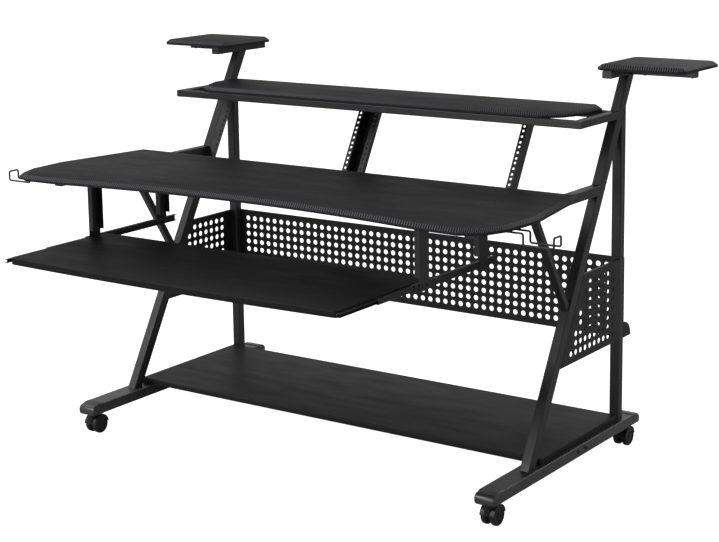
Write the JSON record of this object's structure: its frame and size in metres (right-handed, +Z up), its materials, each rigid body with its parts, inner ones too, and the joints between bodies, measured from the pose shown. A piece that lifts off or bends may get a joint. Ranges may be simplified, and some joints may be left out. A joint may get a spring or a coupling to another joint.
{
  "type": "computer desk with keyboard tray",
  "caption": "Steel-framed studio computer desk on casters with a sliding keyboard tray, raised shelf, rack rails, speaker shelves, low shelf and headphone hooks.",
  "frame": {"origin": "on the floor, at the middle of the overall box with the tray drawn out", "axes": "+X to the right seen from the front, +Y from the user's side to the back, +Z up"},
  "size_m": [1.668, 1.207, 1.019],
  "materials": {
    "black_steel": "fine-textured satin black powder coat",
    "weave_board": "black woven-look film on board, with small bright flecks on the bevels",
    "laminate_board": "satin black laminate on board",
    "black_plastic": "satin moulded plastic",
    "caster_tread": "hard smooth wheel plastic",
    "slide_steel": "black coated slide steel",
    "hook_wire": "black dipped wire",
    "fastener": "dark plated steel"
  },
  "bodies": {
    "frame": {"foot_rail_left": "black_steel", "foot_rail_right": "black_steel", "foot_cap_front_left": "black_plastic", "foot_cap_front_right": "black_plastic", "foot_cap_rear_left": "black_plastic", "foot_cap_rear_right": "black_plastic", "slanted_post_left": "black_steel", "slanted_post_right": "black_steel", "rear_post_left": "black_steel", "rear_post_right": "black_steel", "desk_arm_left": "black_steel", "desk_arm_right": "black_steel", "shelf_arm_left": "black_steel", "shelf_arm_right": "black_steel", "desk_brace_left": "black_steel", "desk_brace_right": "black_steel", "top_bracket_left": "black_steel", "top_bracket_right": "black_steel", "top_shelf_left": "weave_board", "top_shelf_right": "weave_board", "side_panel_left": "black_steel", "side_panel_right": "black_steel", "cable_ledge_end_left": "black_steel", "cable_ledge_end_right": "black_steel", "headphone_hook_left": "hook_wire", "headphone_hook_right": "hook_wire", "slide_outer_left": "slide_steel", "slide_outer_right": "slide_steel", "tray_hanger_front_left": "black_steel", "tray_hanger_front_right": "black_steel", "tray_hanger_rear_left": "black_steel", "tray_hanger_rear_right": "black_steel", "shelf_front_tube": "black_steel", "shelf_rear_tube": "black_steel", "rack_base_tube": "black_steel", "desk_cross_tubes": "black_steel", "low_cross_tube": "black_steel", "frame_screws": "fastener", "rack_rail_left": "black_steel", "rack_rail_middle": "black_steel", "rack_rail_right": "black_steel", "desktop": "weave_board", "raised_shelf": "weave_board", "low_shelf": "laminate_board", "rear_panel": "black_steel", "cable_ledge": "black_steel", "caster_stems": "fastener"},
    "tray": {"keyboard_tray": "laminate_board", "slide_inner_left": "slide_steel", "slide_inner_right": "slide_steel"},
    "slide_member_left": {"slide_middle_left": "slide_steel"},
    "slide_member_right": {"slide_middle_right": "slide_steel"},
    "caster_front_left": {"caster_housing_front_left": "black_plastic"},
    "wheels_front_left": {"caster_wheels_front_left": "caster_tread"},
    "caster_rear_left": {"caster_housing_rear_left": "black_plastic"},
    "wheels_rear_left": {"caster_wheels_rear_left": "caster_tread"},
    "caster_front_right": {"caster_housing_front_right": "black_plastic"},
    "wheels_front_right": {"caster_wheels_front_right": "caster_tread"},
    "caster_rear_right": {"caster_housing_rear_right": "black_plastic"},
    "wheels_rear_right": {"caster_wheels_rear_right": "caster_tread"}
  },
  "joints": [
    {"name": "tray_slide", "type": "slide", "parent": "frame", "child": "tray", "axis": [0, 1, 0], "range_m": [0, 0.284]},
    {"name": "slide_member_left", "type": "slide", "parent": "frame", "child": "slide_member_left", "axis": [0, 1, 0], "range_m": [0, 0.142]},
    {"name": "slide_member_right", "type": "slide", "parent": "frame", "child": "slide_member_right", "axis": [0, 1, 0], "range_m": [0, 0.142]},
    {"name": "caster_swivel_front_left", "type": "hinge", "parent": "frame", "child": "caster_front_left", "pos_m": [-0.628, -0.194, 0.06], "axis": [0, 0, 1], "continuous": true},
    {"name": "wheel_spin_front_left", "type": "hinge", "parent": "caster_front_left", "child": "wheels_front_left", "pos_m": [-0.628, -0.175, 0.025], "axis": [1, 0, 0], "continuous": true},
    {"name": "caster_swivel_rear_left", "type": "hinge", "parent": "frame", "child": "caster_rear_left", "pos_m": [-0.628, 0.521, 0.06], "axis": [0, 0, 1], "continuous": true},
    {"name": "wheel_spin_rear_left", "type": "hinge", "parent": "caster_rear_left", "child": "wheels_rear_left", "pos_m": [-0.628, 0.502, 0.025], "axis": [1, 0, 0], "continuous": true},
    {"name": "caster_swivel_front_right", "type": "hinge", "parent": "frame", "child": "caster_front_right", "pos_m": [0.628, -0.194, 0.06], "axis": [0, 0, 1], "continuous": true},
    {"name": "wheel_spin_front_right", "type": "hinge", "parent": "caster_front_right", "child": "wheels_front_right", "pos_m": [0.628, -0.175, 0.025], "axis": [1, 0, 0], "continuous": true},
    {"name": "caster_swivel_rear_right", "type": "hinge", "parent": "frame", "child": "caster_rear_right", "pos_m": [0.628, 0.521, 0.06], "axis": [0, 0, 1], "continuous": true},
    {"name": "wheel_spin_rear_right", "type": "hinge", "parent": "caster_rear_right", "child": "wheels_rear_right", "pos_m": [0.628, 0.502, 0.025], "axis": [1, 0, 0], "continuous": true}
  ],
  "couplings": [
    {"joint": "slide_member_left", "follows": "tray_slide", "ratio": 0.5},
    {"joint": "slide_member_right", "follows": "tray_slide", "ratio": 0.5}
  ]
}
